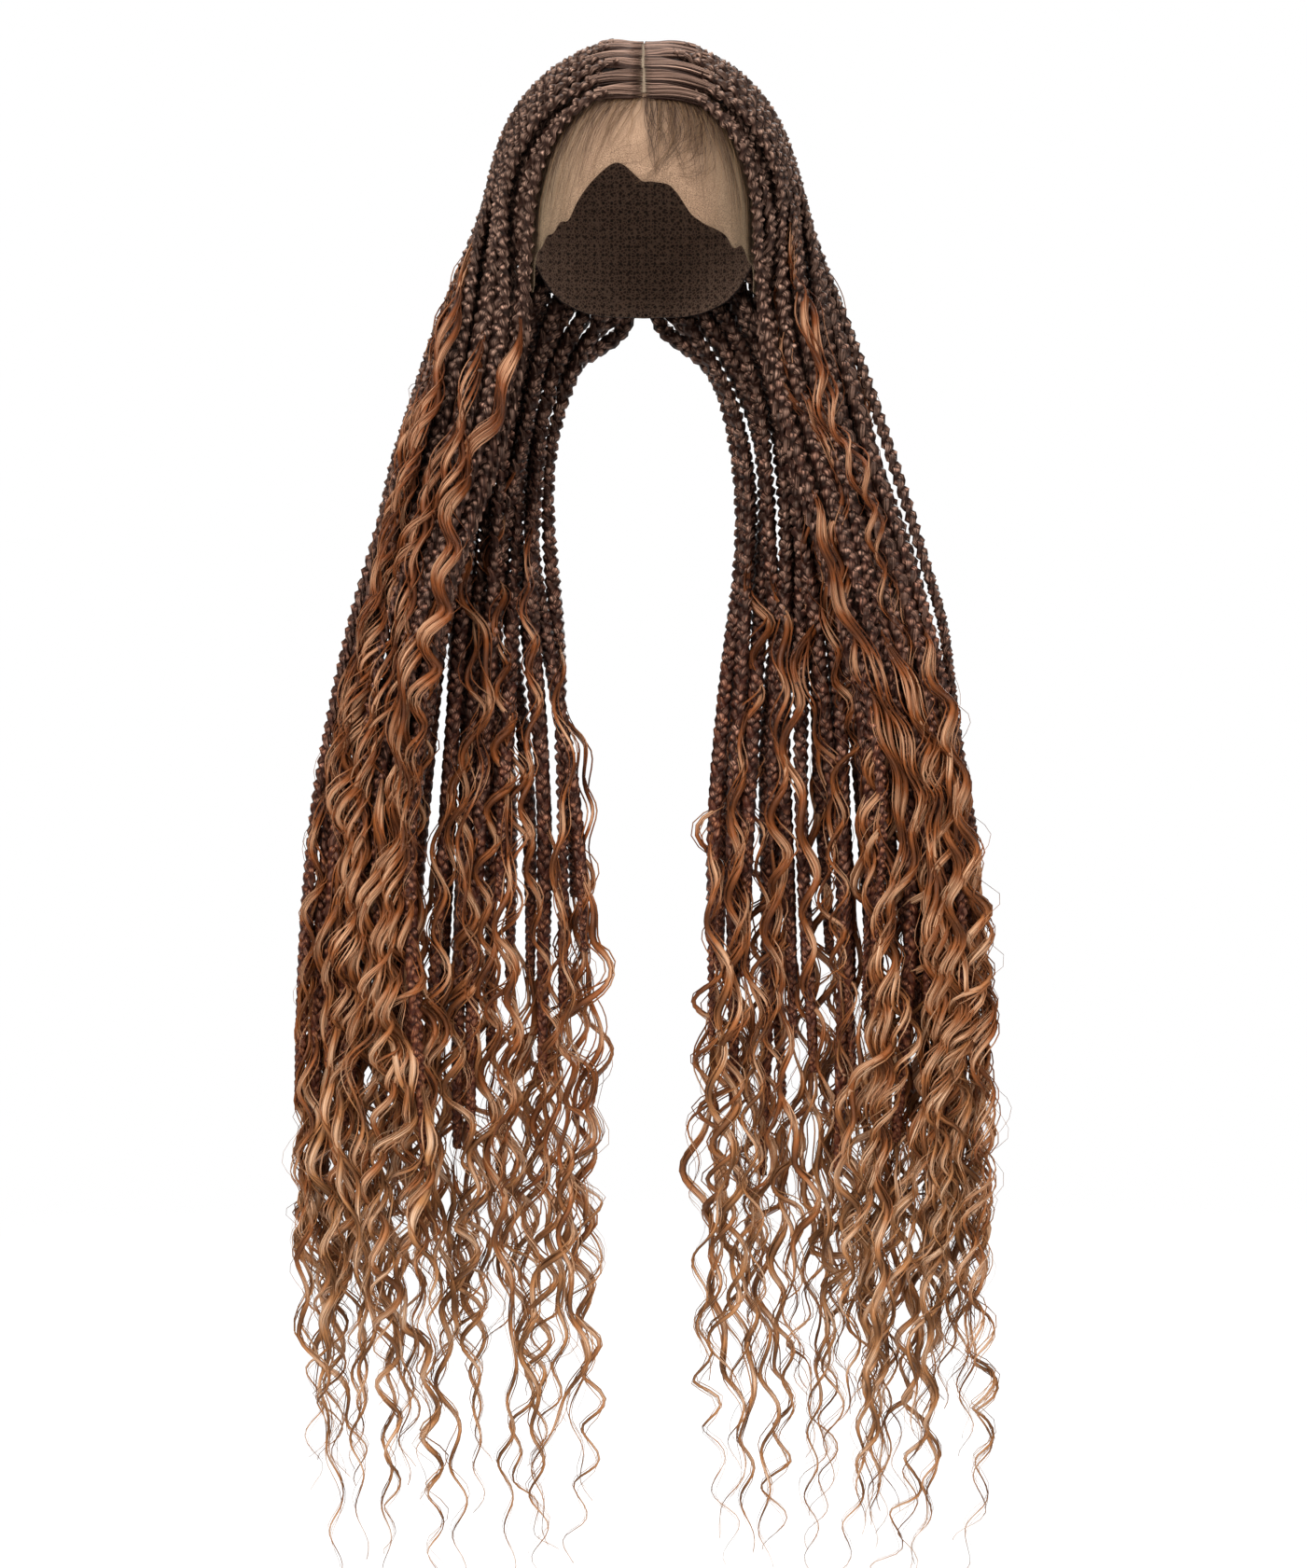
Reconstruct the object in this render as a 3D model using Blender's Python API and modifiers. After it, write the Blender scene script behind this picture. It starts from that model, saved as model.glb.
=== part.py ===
"""A long two-tone braid wig, as it sits on a head: an open cap, a lace front and 48 braids with curly ends.

Metres, +Z up. The face looks along -Y and the wearer's left is +X. The origin is the top of the head,
where the inside of the cap meets it. Every braid runs from its root on the cap, round the head and down
in front of the shoulder, and its open, curly end is the thicker lock below the plait.
"""

import math
from collections import namedtuple

import bmesh
import bpy
import numpy as np
from mathutils import Vector

# Driving sizes of the head, the cap and the hair
HEAD_HALF_WIDTH = 0.075
HEAD_HALF_DEPTH = 0.095
HEAD_HALF_HEIGHT = 0.110
CAP_WALL = 0.0015
LACE_WALL = 0.0010
LACE_SLIT = 0.0017
PART_WIDTH = 0.0040
PART_WALL = 0.0010
GAP = 0.0003
WIG_LENGTH = 0.950
CURTAIN_HALF_WIDTH = 0.200
ROOT_RADIUS = 0.0036
BRAID_RADIUS = 0.0063
BRAID_END_RADIUS = 0.0050
CURL_RADIUS = 0.0074
TIP_RADIUS = 0.0022
ROOT_LENGTH = 0.045
CURL_START = 0.470
CURL_FULL = 0.640
CURL_TAPER = 0.760
RAGGED_LENGTH = 0.150

# How many braids there are, and how finely they are drawn
LANES = 12
TIERS = ("upper", "lower")
SIDES = {"left": 1.0, "right": -1.0}
RING_STEPS = 3
HEAD_STATIONS = 21
HANG_STATIONS = 30
LOWER_TIER_START = 9
ROOT_STATIONS = 6
LEVEL_STATIONS = 8
DROP_CURVE = 1.3
TIER_LIFT = 2.5
LIFTED_LANE = 3
ROOT_TURN_SHARE = 0.85
NEAR_SAMPLES = 13
GOLDEN_SHARE = 0.618
SETTLE_ROUNDS = 90
PUSH_SHARE = 0.3
SMOOTH_SHARE = 0.22
CAP_COLUMNS = 44
CAP_RINGS = 13
TEMPLE_COLUMNS = 10
LACE_ROWS = 3
PART_ROWS = 24

# Angles on the head. Over the head they count from the top, back positive; round it, from the front.
FIRST_ROOT = math.radians(-45)
LAST_ROOT = math.radians(104)
FIRST_LEAVE = math.radians(66)
LAST_LEAVE = math.radians(175)
LEAVE_DROP_FRONT = math.radians(90)
LEAVE_DROP_NAPE = math.radians(120)
SIDE_PULL_FRONT = math.radians(50)
SIDE_PULL_NAPE = math.radians(10)
TEMPLE = math.tau * TEMPLE_COLUMNS / CAP_COLUMNS
PART_FRONT = math.radians(-46)
PART_BACK = math.radians(114)

# The cap's edge and the lace's edge, as degrees down from the top of the head
Edge = namedtuple("Edge", "azimuth hairline lace")
EDGES = (
    Edge(0, 47.5, 73),
    Edge(14, 46, 70),
    Edge(24, 44.5, 76),
    Edge(33, 44.5, 84),
    Edge(44, 46.5, 92),
    Edge(54, 51, 97),
    Edge(63, 60, 101),
    Edge(69, 76, 107),
    Edge(76, 90, 112),
    Edge(84, 103, 110),
    Edge(89, 103, 103),
    Edge(96, 97, 97),
    Edge(110, 100, 100),
    Edge(126, 112, 112),
    Edge(145, 118, 118),
    Edge(180, 120, 120),
)

# Where the lace's edge hangs lower: the angle round the head, the width and the share by which it grows
Dip = namedtuple("Dip", "azimuth width share")
LACE_DIPS = (
    Dip(0, 19, 0.16),
    Dip(17, 12, 0.34),
    Dip(30, 13, 0.16),
    Dip(48, 5, 0.04),
    Dip(60, 5, 0.05),
)

# Plan of one curtain at each drop: where the hair from the hairline, the side, the back and the nape
# hangs. Drops are shares of the wig's length, x of the curtain's half width, y of the head's half depth.
Plan = namedtuple("Plan", "drop face_x face_y side_x side_y back_x back_y nape_x nape_y")
PLANS = (
    Plan(0.18, 0.385, -0.36, 0.570, -0.08, 0.440, 0.62, 0.160, 0.96),
    Plan(0.23, 0.425, -0.46, 0.620, -0.17, 0.490, 0.44, 0.300, 0.76),
    Plan(0.27, 0.490, -0.57, 0.670, -0.32, 0.520, 0.12, 0.400, 0.38),
    Plan(0.33, 0.600, -0.78, 0.740, -0.53, 0.530, -0.30, 0.370, -0.08),
    Plan(0.38, 0.710, -1.00, 0.820, -0.78, 0.540, -0.65, 0.295, -0.55),
    Plan(0.43, 0.740, -1.20, 0.880, -0.97, 0.540, -0.88, 0.235, -0.84),
    Plan(0.51, 0.720, -1.28, 0.945, -1.09, 0.560, -1.01, 0.200, -0.97),
    Plan(0.59, 0.670, -1.28, 1.010, -1.12, 0.590, -1.03, 0.200, -0.99),
    Plan(0.74, 0.630, -1.26, 1.000, -1.09, 0.590, -0.99, 0.210, -0.97),
    Plan(1.00, 0.560, -1.18, 0.920, -1.03, 0.560, -0.95, 0.240, -0.95),
)
PLAN_LANES = (0.0, 0.35, 0.68, 0.96)
HEAD_AXES = np.array((HEAD_HALF_WIDTH, HEAD_HALF_DEPTH, HEAD_HALF_HEIGHT))
HEAD_CENTRE = np.array((0.0, 0.0, -HEAD_HALF_HEIGHT))


def smooth_curve(knots, values, places):
    """A smooth curve through values at knots, read at places."""
    knots = np.asarray(knots, float)
    values = np.asarray(values, float)
    slopes = np.gradient(values, knots, axis=0)
    left = np.clip(np.searchsorted(knots, places) - 1, 0, len(knots) - 2)
    span = knots[left + 1] - knots[left]
    share = np.clip((places - knots[left]) / span, 0, 1)
    share, span = share.reshape(-1, *[1] * (values.ndim - 1)), span.reshape(-1, *[1] * (values.ndim - 1))
    rise = share * share * (3 - 2 * share)
    lift = share * (1 - share)
    return (
        values[left] * (1 - rise)
        + values[left + 1] * rise
        + slopes[left] * span * lift * (1 - share)
        - slopes[left + 1] * span * lift * share
    )


def on_head(direction, lift=0.0):
    """Points where directions from the head's middle meet it, lifted off it by lift."""
    direction = direction / np.linalg.norm(direction, axis=-1, keepdims=True)
    normal = direction / HEAD_AXES
    normal /= np.linalg.norm(normal, axis=-1, keepdims=True)
    return HEAD_CENTRE + direction * HEAD_AXES + normal * np.expand_dims(lift, -1)


def head_direction(azimuth, drop):
    """The direction at an angle round the head and an angle down from its top."""
    return np.array((math.sin(azimuth) * math.sin(drop), -math.cos(azimuth) * math.sin(drop), math.cos(drop)))


def off_head(points):
    """How far points are outside the head, and the way straight out."""
    local = (points - HEAD_CENTRE) / HEAD_AXES
    size = np.linalg.norm(local, axis=-1)
    slope = local / HEAD_AXES / size[..., None]
    steep = np.linalg.norm(slope, axis=-1)
    return (size - 1) / steep, slope / steep[..., None]


def braid_radius(points):
    """The radius that a braid has by its drop: plait, then the fuller curly end."""
    drop = -points[..., 2] / WIG_LENGTH
    stops = (0.0, 0.30, CURL_START, CURL_FULL, CURL_TAPER, 1.0)
    sizes = (BRAID_RADIUS, BRAID_RADIUS, BRAID_END_RADIUS, CURL_RADIUS, CURL_RADIUS, TIP_RADIUS)
    return np.interp(drop, stops, sizes)


def first_station(tier):
    """Where a tier's braids are rooted: at the parting, or half way down the side of the head."""
    return LOWER_TIER_START if tier == "lower" else 0


def lane_route(lane, tier):
    """One braid's wished route on the left side, before it settles among the others."""
    shift = 0.5 if tier == "lower" else 0.0
    share = (lane + shift) / LANES
    root = FIRST_ROOT + (LAST_ROOT - FIRST_ROOT) * share
    leave = FIRST_LEAVE + (LAST_LEAVE - FIRST_LEAVE) * share
    drop = LEAVE_DROP_FRONT + (LEAVE_DROP_NAPE - LEAVE_DROP_FRONT) * share**2
    pull = SIDE_PULL_FRONT + (SIDE_PULL_NAPE - SIDE_PULL_FRONT) * share
    begin = np.array((0, math.sin(root), math.cos(root)))
    turn = root * ROOT_TURN_SHARE
    bend = np.array((math.sin(pull), math.cos(pull) * math.sin(turn), math.cos(pull) * math.cos(turn)))
    end = head_direction(leave, drop)
    step = np.linspace(0, 1, HEAD_STATIONS + 1)[:, None]
    direction = begin * (1 - step) ** 2 + 2 * bend * step * (1 - step) + end * step**2
    first = first_station(tier)
    grown = np.clip((np.arange(HEAD_STATIONS + 1) - first) / ROOT_STATIONS, 0, 1)
    layer = ROOT_RADIUS + (BRAID_RADIUS - ROOT_RADIUS) * grown + GAP + CAP_WALL
    over = np.clip((step[:, 0] - 0.3) / 0.3, 0, 1) if tier == "upper" else np.zeros(len(step))
    over = over * min(lane / LIFTED_LANE, (LANES - 1 - lane) / LIFTED_LANE, 1)
    head = on_head(direction, layer + TIER_LIFT * BRAID_RADIUS * over)
    hang = np.arange(1, HANG_STATIONS + 1) / HANG_STATIONS
    fall = hang**DROP_CURVE
    own_level = head[-1, 2] * (1 - fall) - WIG_LENGTH * fall
    shared_level = -HEAD_HALF_HEIGHT * (1 - fall) - WIG_LENGTH * fall
    meet = np.clip(hang * HANG_STATIONS / LEVEL_STATIONS, 0, 1)
    level = own_level * (1 - meet) + shared_level * meet
    plans = np.array(PLANS)
    size = np.array((CURTAIN_HALF_WIDTH, HEAD_HALF_DEPTH))
    corners = plans[:, 1:].reshape(-1, 4, 2) * size
    beside = np.clip(np.array((share, share - 0.02, share + 0.02)), 0, 1)
    spots = np.array([smooth_curve(PLAN_LANES, row, beside) for row in corners])
    across = spots[:, 0]
    along = spots[:, 2] - spots[:, 1]
    normal = np.stack((along[:, 1], -along[:, 0]), 1) / np.linalg.norm(along, axis=1)[:, None]
    across = across + normal * BRAID_RADIUS * (1 if tier == "upper" else -1)
    knots = np.concatenate(([-head[-1, 2]], plans[:, 0] * WIG_LENGTH))
    places = np.vstack((head[-1, :2], across))
    plan = smooth_curve(knots, places, -level)
    return np.vstack((head, np.column_stack((plan, level))))


def settle(routes, radii, alive, first):
    """Braids push each other apart, and off the head, until each one has its room."""
    room = radii[:, None] + radii[None] + GAP
    both = alive[:, None] & alive[None] & ~np.eye(len(routes), dtype=bool)[:, :, None]
    rooted = np.arange(routes.shape[1])[None] <= first[:, None]
    roots = routes[rooted]
    for _ in range(SETTLE_ROUNDS):
        way = np.gradient(routes, axis=1)
        way /= np.linalg.norm(way, axis=-1, keepdims=True)
        middle = way[:, None] + way[None]
        middle /= np.linalg.norm(middle, axis=-1, keepdims=True) + 1e-9
        apart = routes[:, None] - routes[None]
        apart -= middle * (apart * middle).sum(-1, keepdims=True)
        far = np.linalg.norm(apart, axis=-1) + 1e-9
        short = np.where(both, np.clip(room - far, 0, None), 0)
        routes = routes + PUSH_SHARE * (apart * (short / far)[..., None]).sum(1)
        middle_way = (routes[:, :-2] + routes[:, 2:]) / 2
        routes[:, 1:-1] += SMOOTH_SHARE * (middle_way - routes[:, 1:-1])
        routes[rooted] = roots
        out, straight = off_head(routes)
        need = radii + CAP_WALL + GAP
        routes += straight * np.clip(need - out, 0, None)[..., None]
        routes[..., 0] = np.maximum(routes[..., 0], radii + GAP + PART_WIDTH / 2)
    return routes


def nearest(points, lines):
    """How near each point comes to any of the lines, which are rows of joined points."""
    start, end = lines[:, :-1].reshape(-1, 3), lines[:, 1:].reshape(-1, 3)
    run = end - start
    length = np.maximum((run * run).sum(1), 1e-12)
    best = np.full(len(points), np.inf)
    for a, r, n in zip(start, run, length):
        share = np.clip((points - a) @ r / n, 0, 1)
        best = np.minimum(best, np.linalg.norm(points - a - share[:, None] * r, axis=1))
    return best


def wished_radii(points):
    """A braid's radii from its thin root to its tip, where nothing stands in the way."""
    spare = WIG_LENGTH + points[-1, 2]
    tapering = points[:, 2:] < -CURL_TAPER * WIG_LENGTH
    radii = braid_radius(points - np.array((0, 0, spare)) * tapering)
    run = np.concatenate(([0], np.cumsum(np.linalg.norm(np.diff(points, axis=0), axis=1))))
    return np.minimum(radii, ROOT_RADIUS + (BRAID_RADIUS - ROOT_RADIUS) * run / ROOT_LENGTH)


def free_radii(points, others):
    """The largest radii that keep a braid clear of the others, of the head and of the other side."""
    shares = np.linspace(-1, 1, NEAR_SAMPLES)[None, :, None]
    back = np.vstack((points[:1], points[:-1])) - points
    ahead = np.vstack((points[1:], points[-1:])) - points
    near = points[:, None] + np.where(shares < 0, back[:, None], ahead[:, None]) * abs(shares)
    near = near.reshape(-1, 3)
    free = np.min([nearest(near, other[None]) for other in others], axis=0)
    room = np.minimum((free - GAP) / 2, near[:, 0] - GAP)
    room = np.minimum(room, off_head(near)[0] - CAP_WALL - GAP)
    return room.reshape(len(points), -1).min(1)


def braid_tubes():
    """Every braid of the left side: its name's end, its points and its radii."""
    keys = [(tier, lane) for tier in TIERS for lane in range(LANES)]
    routes = np.array([lane_route(lane, tier) for tier, lane in keys])
    first = np.array([first_station(tier) for tier, _ in keys])
    alive = np.arange(routes.shape[1])[None] >= first[:, None]
    grown = np.clip((np.arange(routes.shape[1])[None] - first[:, None]) / ROOT_STATIONS, 0, 1)
    radii = np.where(alive, ROOT_RADIUS + (braid_radius(routes) - ROOT_RADIUS) * grown, 0)
    routes = settle(routes, radii, alive, first)[:, ::RING_STEPS]
    tubes = []
    for number, (tier, lane) in enumerate(keys):
        rings = routes[number, first[number] // RING_STEPS :]
        ragged = (number * GOLDEN_SHARE) % 1.0
        tip = WIG_LENGTH - RAGGED_LENGTH * ragged
        keep = int((-rings[:, 2] < tip - 0.02).sum())
        share = (tip + rings[keep - 1, 2]) / (rings[keep - 1, 2] - rings[keep, 2])
        last = rings[keep - 1] + (rings[keep] - rings[keep - 1]) * share
        tubes.append((f"{tier}_{lane + 1:02d}", np.vstack((rings[:keep], last))))
    sized = []
    for number, (name, points) in enumerate(tubes):
        others = [other for n, (_, other) in enumerate(tubes) if n != number]
        sized.append((name, points, np.minimum(wished_radii(points), free_radii(points, others))))
    return sized


def material(name, colour, roughness):
    """A plain Principled material."""
    made = bpy.data.materials.new(name)
    made.use_nodes = True
    shader = made.node_tree.nodes["Principled BSDF"]
    shader.inputs["Base Color"].default_value = (*colour, 1)
    shader.inputs["Roughness"].default_value = roughness
    shader.inputs["Metallic"].default_value = 0.0
    made.diffuse_color = (*colour, 1)
    return made


def add_tube(collection, name, points, radii, finish):
    """A round tube along points, with a radius at each of them."""
    curve = bpy.data.curves.new(name, "CURVE")
    curve.dimensions = "3D"
    curve.bevel_depth = BRAID_RADIUS
    curve.bevel_resolution = 1
    curve.use_fill_caps = True
    spline = curve.splines.new("POLY")
    spline.points.add(len(points) - 1)
    for knot, place, radius in zip(spline.points, points, radii):
        knot.co = (*place, 1)
        knot.radius = radius / BRAID_RADIUS
    curve.materials.append(finish)
    collection.objects.link(bpy.data.objects.new(name, curve))


def add_shell(collection, name, mesh_code, wall, finish):
    """An open surface given a wall outwards."""
    mesh = bpy.data.meshes.new(name)
    bmesh.ops.recalc_face_normals(mesh_code, faces=mesh_code.faces)
    centre = Vector(HEAD_CENTRE)
    outward = sum(face.normal.dot(face.calc_center_median() - centre) for face in mesh_code.faces)
    if outward < 0:
        bmesh.ops.reverse_faces(mesh_code, faces=mesh_code.faces)
    mesh_code.to_mesh(mesh)
    mesh_code.free()
    mesh.materials.append(finish)
    shell = bpy.data.objects.new(name, mesh)
    collection.objects.link(shell)
    solidify = shell.modifiers.new("wall", "SOLIDIFY")
    solidify.thickness = wall
    solidify.offset = 1.0
    solidify.use_rim = True


def edge_angle(azimuth, column):
    """How far down an edge lies at an angle round the head, in radians."""
    turns = np.array([edge.azimuth for edge in EDGES], float)
    drops = np.array([getattr(edge, column) for edge in EDGES], float)
    return math.radians(float(smooth_curve(turns, drops, np.array((abs(math.degrees(azimuth)),)))[0]))


def add_cap(collection, finish):
    """The cap: the upper half of a ball, drawn down to the hairline, the ears and the nape."""
    code = bmesh.new()
    bmesh.ops.create_uvsphere(code, u_segments=CAP_COLUMNS, v_segments=2 * CAP_RINGS, radius=1)
    below = [vertex for vertex in code.verts if vertex.co.z < -1e-4]
    bmesh.ops.delete(code, geom=below, context="VERTS")
    for vertex in code.verts:
        azimuth = math.atan2(vertex.co.x, -vertex.co.y)
        share = math.acos(max(-1, min(1, vertex.co.z))) / (math.pi / 2)
        drop = edge_angle(azimuth, "hairline") * share
        vertex.co = on_head(head_direction(azimuth, drop))
    add_shell(collection, "wig_cap", code, CAP_WALL, finish)


def add_lace(collection, finish):
    """The lace front: a strip on the forehead, from the hairline down to its trimmed edge."""
    code = bmesh.new()
    bmesh.ops.create_grid(code, x_segments=2 * TEMPLE_COLUMNS, y_segments=LACE_ROWS, size=1)
    slit = LACE_SLIT / HEAD_HALF_DEPTH
    for vertex in code.verts:
        azimuth = TEMPLE * vertex.co.x
        top = edge_angle(azimuth, "hairline") + slit
        bottom = edge_angle(azimuth, "lace")
        grown = 1.0
        for dip in LACE_DIPS:
            away = (azimuth - math.radians(dip.azimuth)) / math.radians(dip.width)
            grown += dip.share * math.exp(-away * away)
        drop = top + (bottom - top) * grown * (1 - vertex.co.y) / 2
        vertex.co = on_head(head_direction(azimuth, drop))
    add_shell(collection, "lace_front", code, LACE_WALL, finish)


def add_parting(collection, finish):
    """The bare parting: a narrow strip on the cap from the hairline over the head to the nape."""
    code = bmesh.new()
    bmesh.ops.create_grid(code, x_segments=1, y_segments=PART_ROWS, size=1)
    for vertex in code.verts:
        along = PART_FRONT + (PART_BACK - PART_FRONT) * (vertex.co.y + 1) / 2
        place = on_head(np.array((0, math.sin(along), math.cos(along))), CAP_WALL + GAP)
        place[0] = vertex.co.x * PART_WIDTH / 2
        vertex.co = place
    add_shell(collection, "parting_strip", code, PART_WALL, finish)


def main():
    """Clear the scene and build the wig."""
    for old in list(bpy.data.objects):
        bpy.data.objects.remove(old)
    collection = bpy.data.collections.new("braid_wig")
    bpy.context.scene.collection.children.link(collection)
    add_cap(collection, material("cap_net", (0.02, 0.015, 0.013), 0.9))
    add_lace(collection, material("lace_net", (0.42, 0.27, 0.16), 0.8))
    add_parting(collection, material("parting_net", (0.45, 0.36, 0.27), 0.8))
    hair = material("braided_hair", (0.075, 0.032, 0.022), 0.45)
    for name, points, radii in braid_tubes():
        for side, way in SIDES.items():
            add_tube(collection, f"braid_{side}_{name}", points * np.array((way, 1, 1)), radii, hair)


main()
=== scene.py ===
# %% [markdown]
# # A braided lace wig
# A braided wig is a cap of dark net with a strip of sheer lace at the forehead. Hair is knotted to it in
# small bundles, and each bundle is plaited and left open at its end, where it falls in crimped curls. This
# lesson dresses the plain construction, a cap and 48 tubes, with real plaits, curls and lace.

import math
from collections import namedtuple

import bpy
import numpy as np
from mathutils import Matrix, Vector


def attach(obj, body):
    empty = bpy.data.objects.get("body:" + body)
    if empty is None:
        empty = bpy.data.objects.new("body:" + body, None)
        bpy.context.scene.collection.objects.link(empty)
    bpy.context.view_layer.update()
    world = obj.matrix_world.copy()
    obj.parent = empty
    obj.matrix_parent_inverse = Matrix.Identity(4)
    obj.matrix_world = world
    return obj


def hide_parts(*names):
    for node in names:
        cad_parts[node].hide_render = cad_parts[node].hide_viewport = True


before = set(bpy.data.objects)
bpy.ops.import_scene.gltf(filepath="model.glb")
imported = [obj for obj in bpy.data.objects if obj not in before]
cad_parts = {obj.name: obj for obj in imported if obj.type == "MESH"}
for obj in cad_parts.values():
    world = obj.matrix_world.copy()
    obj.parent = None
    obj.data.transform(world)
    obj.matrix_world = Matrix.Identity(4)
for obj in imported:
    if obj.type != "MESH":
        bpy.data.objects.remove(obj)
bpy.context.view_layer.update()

# %% [markdown]
# ## Sizes
# Every braid is laid out from the head under the cap, so the head's size comes first. These are the same
# values that the construction was made from, in metres. The photograph is read at one scale, which turns a
# place in it into a height and a sideways distance.

# %% Name the sizes of the head and the hair
HEAD_AXES = np.array((0.075, 0.095, 0.110))
HEAD_CENTRE = np.array((0.0, 0.0, -HEAD_AXES[2]))
CAP_WALL = 0.0015
PART_WIDTH = 0.0040
GAP = 0.0003
WIG_LENGTH = 0.950
CURTAIN_HALF_WIDTH = 0.200
SCALE = 0.00057
IMAGE_SIZE = (1401, 1681)
MIDDLE_COLUMN = 690
TOP_ROW = 46
SIDES = {"left": 1.0, "right": -1.0}
print("scale", SCALE, "m a pixel; wig length", WIG_LENGTH)

# %% [markdown]
# ## Writing nodes as sentences
# A shader or a Geometry Nodes tree made by hand is a long list of links. Here one class wraps a socket so
# that plain arithmetic adds the Math nodes, and one method makes any other node from its type, its settings
# and its sockets.

# %% Wrap sockets and trees


class Flow:
    """A socket that a number can be worked out from with + - * and /."""

    def __init__(self, graph, socket):
        self.graph = graph
        self.socket = socket

    def math(self, operation, *others):
        values = {0: self}
        values.update({place + 1: other for place, other in enumerate(others)})
        return self.graph.node("ShaderNodeMath", {"operation": operation}, values)

    def __add__(self, other):
        return self.math("ADD", other)

    def __sub__(self, other):
        return self.math("SUBTRACT", other)

    def __mul__(self, other):
        return self.math("MULTIPLY", other)

    def __truediv__(self, other):
        return self.math("DIVIDE", other)

    def __rsub__(self, other):
        return self.graph.node("ShaderNodeMath", {"operation": "SUBTRACT"}, {0: other, 1: self})

    __radd__ = __add__
    __rmul__ = __mul__


class Graph:
    """A node tree that is written down step by step."""

    def __init__(self, tree):
        self.tree = tree

    def node(self, kind, settings=None, sockets=None, out=0):
        """Make a node, set its settings, fill its sockets and give one output back."""
        made = self.tree.nodes.new(kind)
        for name, value in (settings or {}).items():
            if name == "stops":
                self.fill_ramp(made.color_ramp, value)
            else:
                setattr(made, name, value)
        for name, value in (sockets or {}).items():
            target = made.inputs[name]
            if isinstance(value, Flow):
                self.tree.links.new(value.socket, target)
            else:
                target.default_value = value
        return Flow(self, made.outputs[out]) if made.outputs else made

    def join(self, flow, node, name):
        """Lead a flow into a node's input."""
        self.tree.links.new(flow.socket, node.inputs[name])

    def place(self):
        """Where a point lies, in metres."""
        return self.node("ShaderNodeTexCoord", out="Object")

    def part(self, vector, axis):
        """One of a vector's three numbers."""
        return self.node("ShaderNodeSeparateXYZ", None, {"Vector": vector}, axis)

    def layer(self, name, out="Fac"):
        """An attribute of the mesh, for a shader."""
        return self.node("ShaderNodeAttribute", {"attribute_name": name}, None, out)

    def noise(self, place, scale, detail):
        """Soft random values."""
        return self.node("ShaderNodeTexNoise", None, {"Vector": place, "Scale": scale, "Detail": detail})

    def cells(self, place, size):
        """How far from the nearest border of a net's cells of a size."""
        sockets = {"Vector": place, "Scale": 1 / size}
        return self.node("ShaderNodeTexVoronoi", {"feature": "DISTANCE_TO_EDGE"}, sockets, "Distance")

    def span(self, value, low, high, start, end):
        """A value between low and high turned into one between start and end."""
        return self.node("ShaderNodeMapRange", None, {"Value": value, 1: low, 2: high, 3: start, 4: end})

    def blend(self, share, first, second):
        """One colour turned into another by a share."""
        return self.node("ShaderNodeMix", {"data_type": "RGBA"}, {0: share, 6: first, 7: second}, 2)

    def vector(self, operation, first, second=None, out=0):
        """A Vector Math node; SCALE takes a number second."""
        second_socket = "Scale" if operation == "SCALE" else 1
        sockets = {0: first} if second is None else {0: first, second_socket: second}
        return self.node("ShaderNodeVectorMath", {"operation": operation}, sockets, out)

    def store(self, geometry, name, value, kind="FLOAT"):
        """Keep a value on a geometry's points under a name."""
        settings = {"data_type": kind, "domain": "POINT"}
        sockets = {"Geometry": geometry, "Name": name, "Value": value}
        return self.node("GeometryNodeStoreNamedAttribute", settings, sockets)

    def stored(self, name, kind="FLOAT"):
        """Read an attribute that the routes carry."""
        return self.node("GeometryNodeInputNamedAttribute", {"data_type": kind}, {"Name": name})

    @staticmethod
    def fill_ramp(ramp, stops):
        """Put coloured stops on a colour ramp."""
        while len(ramp.elements) > 1:
            ramp.elements.remove(ramp.elements[-1])
        for number, (place, colour) in enumerate(stops):
            element = ramp.elements[0] if number == 0 else ramp.elements.new(place)
            element.position = place
            element.color = colour


def new_finish(name, roughness, specular=0.5):
    """A material with a Principled shader; its graph and its shader node come back."""
    made = bpy.data.materials.new(name)
    made.use_nodes = True
    shader = made.node_tree.nodes["Principled BSDF"]
    shader.inputs["Roughness"].default_value = roughness
    shader.inputs["Specular IOR Level"].default_value = specular
    return made, Graph(made.node_tree), shader


def show(thing):
    """Put a new object in the scene."""
    bpy.context.scene.collection.objects.link(thing)


def srgb(text):
    """A colour written as six hex digits, as the linear values that shaders use."""
    parts = [int(text[i : i + 2], 16) / 255 for i in (0, 2, 4)]
    return (*(p / 12.92 if p <= 0.04045 else ((p + 0.055) / 1.055) ** 2.4 for p in parts), 1.0)


print("dark brown is", [round(c, 3) for c in srgb("4a342e")])

# %% [markdown]
# ## Camera, light and floor
# The camera stands far back, a quarter of the way down the wig, so the curtains keep their true width. It
# is tilted down a little to frame the whole length. Two large soft lights from the front and one from above
# give hair its long streaks of shine, and a pale floor lies under the tips.

# %% Set up the studio
CAMERA_DISTANCE = 3.5
SUBJECT_PLANE = -0.08
CAMERA_LEVEL = -0.25
SENSOR_HEIGHT = 24.0
FLOOR_LEVEL = -1.06
FLOOR_SIZE = 7.0
FLOOR_SOLID, FLOOR_GONE = 0.6, 2.6
FLOOR_COLOUR = (0.95, 0.95, 0.95, 1)
FLOOR_SHARE = 0.8
AMBIENT = 0.30


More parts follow.
